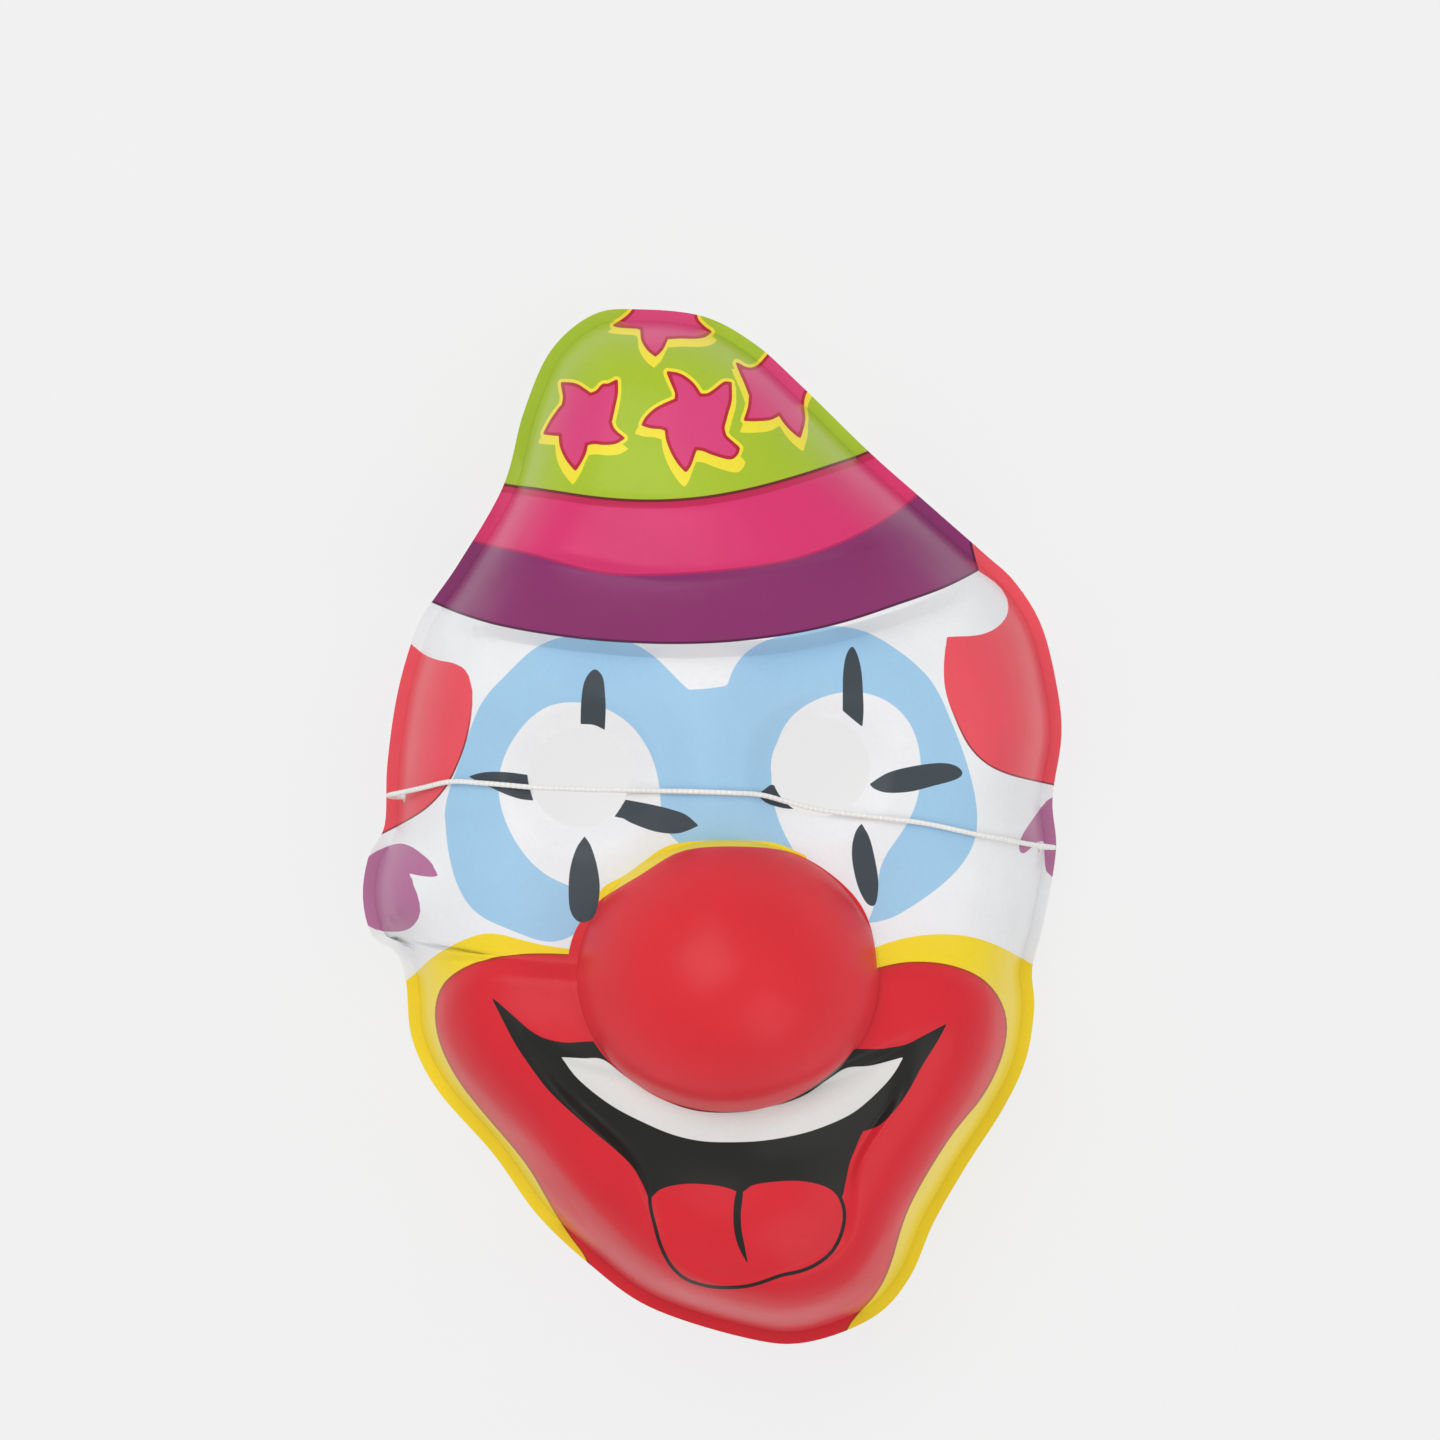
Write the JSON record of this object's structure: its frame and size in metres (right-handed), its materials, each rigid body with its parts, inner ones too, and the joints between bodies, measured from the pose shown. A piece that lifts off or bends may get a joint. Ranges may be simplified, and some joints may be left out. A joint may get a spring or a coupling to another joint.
{
  "type": "clown mask",
  "caption": "One-piece formed plastic face mask of a clown with a hat, ball nose, open eye holes and a thin elastic thread between its sides.",
  "frame": {"origin": "on the plane of the flat rim, under the middle of the mask's box", "axes": "+Z out of the face, away from the wearer; +Y up to the hat; +X to the right as seen from the front"},
  "size_m": [0.143, 0.2116, 0.059],
  "materials": {
    "printed_plastic": "glossy thin sheet printed in flat colours on the front, plain white inside",
    "elastic": "white covered elastic thread"
  },
  "bodies": {
    "root": {"mask_shell": "printed_plastic", "elastic_cord": "elastic", "knot_left": "elastic", "knot_right": "elastic"}
  },
  "joints": []
}
